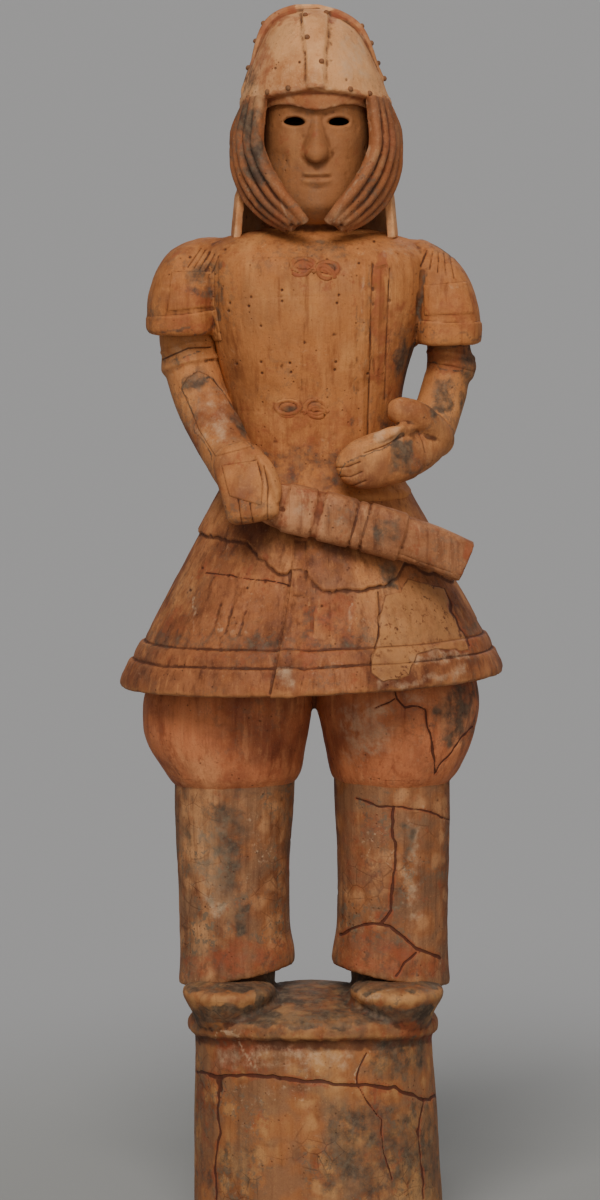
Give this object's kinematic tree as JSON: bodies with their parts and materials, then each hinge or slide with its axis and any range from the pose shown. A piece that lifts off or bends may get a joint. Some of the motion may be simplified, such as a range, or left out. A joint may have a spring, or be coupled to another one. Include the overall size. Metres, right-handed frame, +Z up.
{
  "type": "haniwa warrior figure",
  "caption": "Hollow fired-clay haniwa figure of a standing warrior in riveted helmet and lamellar armour, on its own open-bottomed drum base.",
  "frame": {"origin": "on the ground, below the middle of the skirt's hem, which is the widest form", "axes": "+Z up, the figure faces -Y, +X on the viewer's right (the figure's left)"},
  "size_m": [0.405, 0.3382, 1.302],
  "materials": {
    "terracotta": "matt"
  },
  "bodies": {
    "root": {"haniwa_warrior": "terracotta"}
  },
  "joints": []
}
